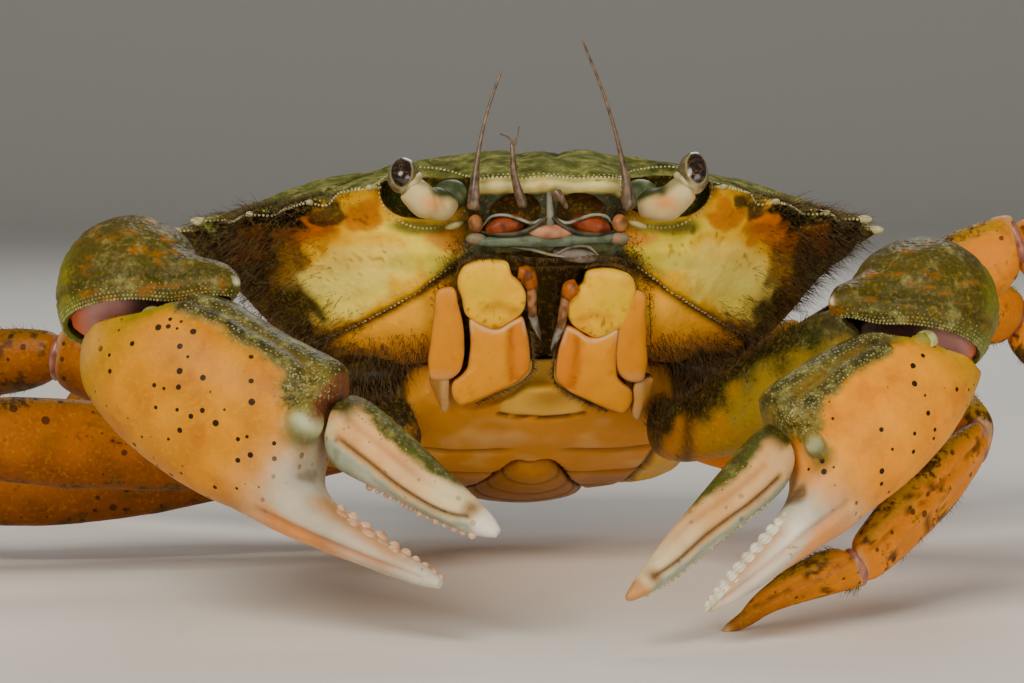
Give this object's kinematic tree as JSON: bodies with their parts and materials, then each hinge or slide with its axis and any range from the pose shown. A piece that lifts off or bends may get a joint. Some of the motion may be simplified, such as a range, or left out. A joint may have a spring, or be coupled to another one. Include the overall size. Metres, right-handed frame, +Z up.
{
  "type": "shore crab",
  "caption": "Life-size still model of a green shore crab, standing on its walking legs with both claws held low before its face.",
  "frame": {"origin": "middle of the whole model's footprint, on the floor that its feet stand on", "axes": "+X towards the crab's left, -Y the way it faces, +Z up"},
  "size_m": [0.1924, 0.1154, 0.053],
  "materials": {
    "shell_green": "granular olive-green shell, damp, satin",
    "shell_orange": "smooth orange shell with small dark dots, satin",
    "shell_yellow": "yellow underside shell, satin",
    "shell_pale": "cream shell, satin",
    "eye_dark": "dark wet cornea",
    "feeler_brown": "brown ringed feeler"
  },
  "bodies": {
    "root": {"carapace": "shell_green", "thorax": "shell_orange", "abdomen": "shell_yellow", "mouthpart_lower_R": "shell_orange", "mouthpart_upper_R": "shell_orange", "mouthpart_strip_R": "shell_orange", "eyestalk_R": "shell_pale", "eye_R": "eye_dark", "feeler_long_R": "feeler_brown", "feeler_short_R": "feeler_brown", "claw_R_arm": "shell_orange", "claw_R_wrist": "shell_green", "claw_R_palm": "shell_orange", "claw_R_finger": "shell_pale", "leg_R2_thigh": "shell_orange", "leg_R2_knee": "shell_orange", "leg_R2_shin": "shell_orange", "leg_R2_toe": "shell_orange", "leg_R3_thigh": "shell_orange", "leg_R3_knee": "shell_orange", "leg_R3_shin": "shell_orange", "leg_R3_toe": "shell_orange", "leg_R4_thigh": "shell_orange", "leg_R4_knee": "shell_orange", "leg_R4_shin": "shell_orange", "leg_R4_toe": "shell_orange", "leg_R5_thigh": "shell_orange", "leg_R5_knee": "shell_orange", "leg_R5_shin": "shell_orange", "leg_R5_toe": "shell_orange", "mouthpart_lower_L": "shell_orange", "mouthpart_upper_L": "shell_orange", "mouthpart_strip_L": "shell_orange", "eyestalk_L": "shell_pale", "eye_L": "eye_dark", "feeler_long_L": "feeler_brown", "feeler_short_L": "feeler_brown", "claw_L_arm": "shell_orange", "claw_L_wrist": "shell_green", "claw_L_palm": "shell_orange", "claw_L_finger": "shell_pale", "leg_L2_thigh": "shell_orange", "leg_L2_knee": "shell_orange", "leg_L2_shin": "shell_orange", "leg_L2_toe": "shell_orange", "leg_L3_thigh": "shell_orange", "leg_L3_knee": "shell_orange", "leg_L3_shin": "shell_orange", "leg_L3_toe": "shell_orange", "leg_L4_thigh": "shell_orange", "leg_L4_knee": "shell_orange", "leg_L4_shin": "shell_orange", "leg_L4_toe": "shell_orange", "leg_L5_thigh": "shell_orange", "leg_L5_knee": "shell_orange", "leg_L5_shin": "shell_orange", "leg_L5_toe": "shell_orange"}
  },
  "joints": []
}
